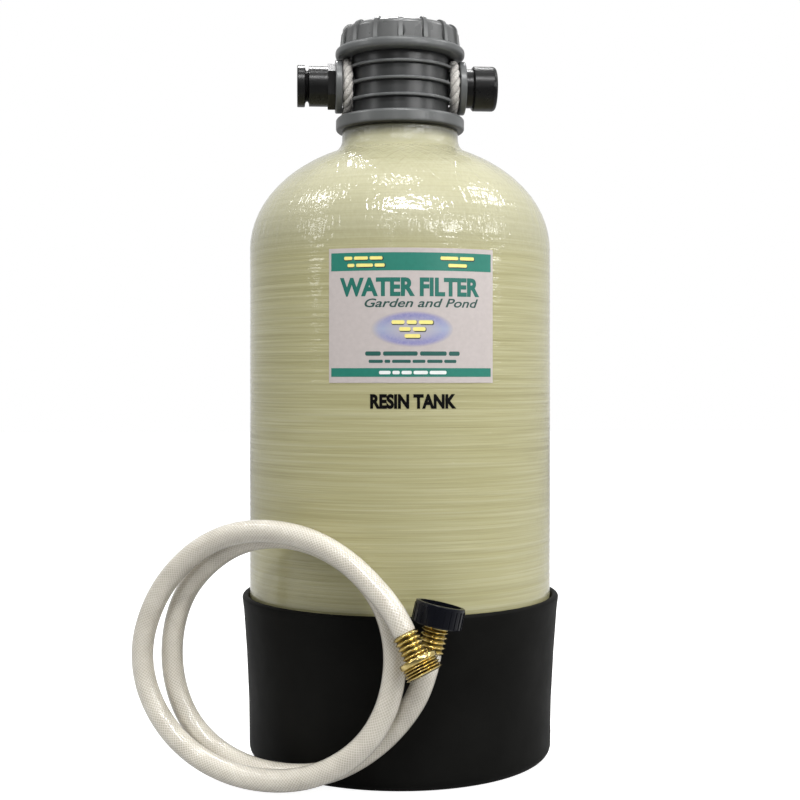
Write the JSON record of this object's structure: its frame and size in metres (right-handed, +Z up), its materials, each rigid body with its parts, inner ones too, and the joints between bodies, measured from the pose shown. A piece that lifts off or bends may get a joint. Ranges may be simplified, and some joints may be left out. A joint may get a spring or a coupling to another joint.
{
  "type": "resin tank water purifier",
  "caption": "Portable resin tank for purifying water: wound shell in a rubber boot, screwed head with fill cap and hose ports, rope handle, and a loose braided hose.",
  "frame": {"origin": "on the tank's axis at the floor, under the rubber boot", "axes": "+Z up the tank's axis, -Y towards the front with the label, +X out of the inlet port"},
  "size_m": [0.3229, 0.3079, 0.5611],
  "materials": {
    "wound_shell": "resin-coated wound glass fibre, glossy",
    "liner": "natural polyethylene",
    "resin": "packed fine beads",
    "boot_rubber": "smooth moulded rubber",
    "label": "printed paper, semi-gloss",
    "head_plastic": "glass-filled grey plastic, satin",
    "cap_plastic": "grey plastic, satin",
    "seal_rubber": "moulded seal rubber",
    "white_plastic": "white moulded plastic",
    "black_plastic": "black moulded plastic, satin",
    "washer_rubber": "flat rubber washer",
    "rope": "twisted white rope",
    "sleeve_metal": "crimped sleeve",
    "hose_plastic": "clear hose with a braid inside",
    "brass": "turned and crimped brass",
    "nut_plastic": "black moulded plastic, ribbed"
  },
  "bodies": {
    "tank": {"tank_winding": "wound_shell", "tank_liner": "liner", "resin_bed": "resin", "base_boot": "boot_rubber", "tank_label": "label", "head_body": "head_plastic", "neck_o_ring": "seal_rubber", "upper_basket": "white_plastic", "riser_tube": "white_plastic", "riser_o_ring": "seal_rubber", "lower_basket": "white_plastic", "inlet_fitting": "black_plastic", "outlet_fitting": "black_plastic", "port_seals": "seal_rubber", "rope_handle": "rope", "rope_sleeve": "sleeve_metal", "hose_tube": "hose_plastic", "hose_ferrule_a": "brass", "hose_male_end": "brass", "hose_ferrule_b": "brass", "hose_tail": "brass"},
    "cap_seal": {"cap_gasket": "seal_rubber"},
    "cap": {"fill_cap": "cap_plastic"},
    "inlet_nut": {"inlet_swivel_nut": "black_plastic", "inlet_washer": "washer_rubber"},
    "hose_nut": {"hose_swivel_nut": "nut_plastic", "hose_washer": "washer_rubber"}
  },
  "joints": [
    {"name": "cap_lift", "type": "slide", "parent": "tank", "child": "cap_seal", "axis": [0, 0, 1], "range_m": [0, 0.0121]},
    {"name": "cap_turn", "type": "hinge", "parent": "cap_seal", "child": "cap", "pos_m": [0, 0, 0.544], "axis": [0, 0, 1], "range_deg": [0, 1080]},
    {"name": "inlet_nut_spin", "type": "hinge", "parent": "tank", "child": "inlet_nut", "pos_m": [0.058, 0, 0.515], "axis": [1, 0, 0], "continuous": true},
    {"name": "hose_nut_spin", "type": "hinge", "parent": "tank", "child": "hose_nut", "pos_m": [0.01343, -0.14422, 0.12349], "axis": [0.2215, 0.0391, 0.9744], "continuous": true}
  ],
  "couplings": [
    {"joint": "cap_lift", "follows": "cap_turn", "m_per_rad": 0.00063662}
  ]
}
